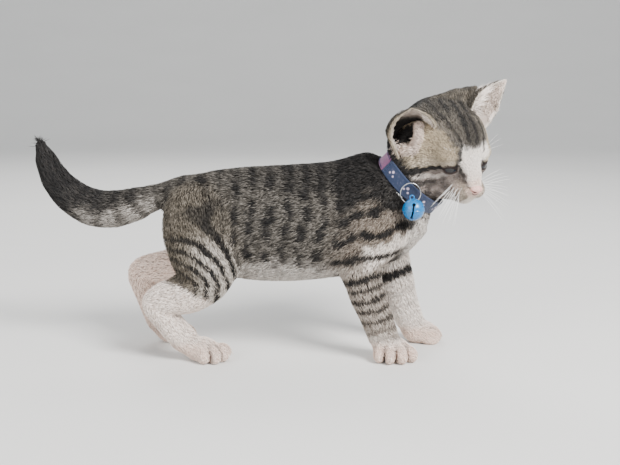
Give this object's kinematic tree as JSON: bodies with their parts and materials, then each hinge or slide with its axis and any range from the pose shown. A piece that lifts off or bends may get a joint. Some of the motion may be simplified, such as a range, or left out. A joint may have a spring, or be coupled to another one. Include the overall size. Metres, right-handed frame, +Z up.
{
  "type": "kitten",
  "caption": "Life-size tabby and white kitten, standing still with its head turned to its right, wearing a webbing collar with a bell.",
  "frame": {"origin": "on the floor under the middle of the whole model's box", "axes": "+X from tail to chest, +Y to the kitten's left, +Z up"},
  "size_m": [0.2992, 0.0754, 0.1769],
  "materials": {
    "tabby_fur": "short dense coat",
    "pale_fur": "short dense coat",
    "head_fur": "short dense coat",
    "dark_fur": "short dense coat",
    "eye": "wet gloss",
    "nose_skin": "soft satin",
    "blue_webbing": "woven",
    "pink_webbing": "woven",
    "white_plastic": "moulded",
    "steel_wire": "polished",
    "bell_paint": "gloss lacquer"
  },
  "bodies": {
    "root": {"foreleg_upper_right": "tabby_fur", "foreleg_lower_right": "tabby_fur", "forepaw_right": "pale_fur", "thigh_right": "tabby_fur", "shank_right": "pale_fur", "hind_foot_right": "pale_fur", "foreleg_upper_left": "tabby_fur", "foreleg_lower_left": "tabby_fur", "forepaw_left": "pale_fur", "thigh_left": "tabby_fur", "shank_left": "pale_fur", "hind_foot_left": "pale_fur", "tail_base": "tabby_fur", "tail_middle": "tabby_fur", "tail_tip": "dark_fur", "trunk": "tabby_fur", "neck": "tabby_fur", "head": "head_fur", "face": "head_fur", "eye_right": "eye", "eye_left": "eye", "nose": "nose_skin", "ear_right": "head_fur", "ear_left": "head_fur", "collar_band": "blue_webbing", "collar_pink": "pink_webbing", "collar_lug": "white_plastic", "ring": "steel_wire", "bell": "bell_paint"}
  },
  "joints": []
}
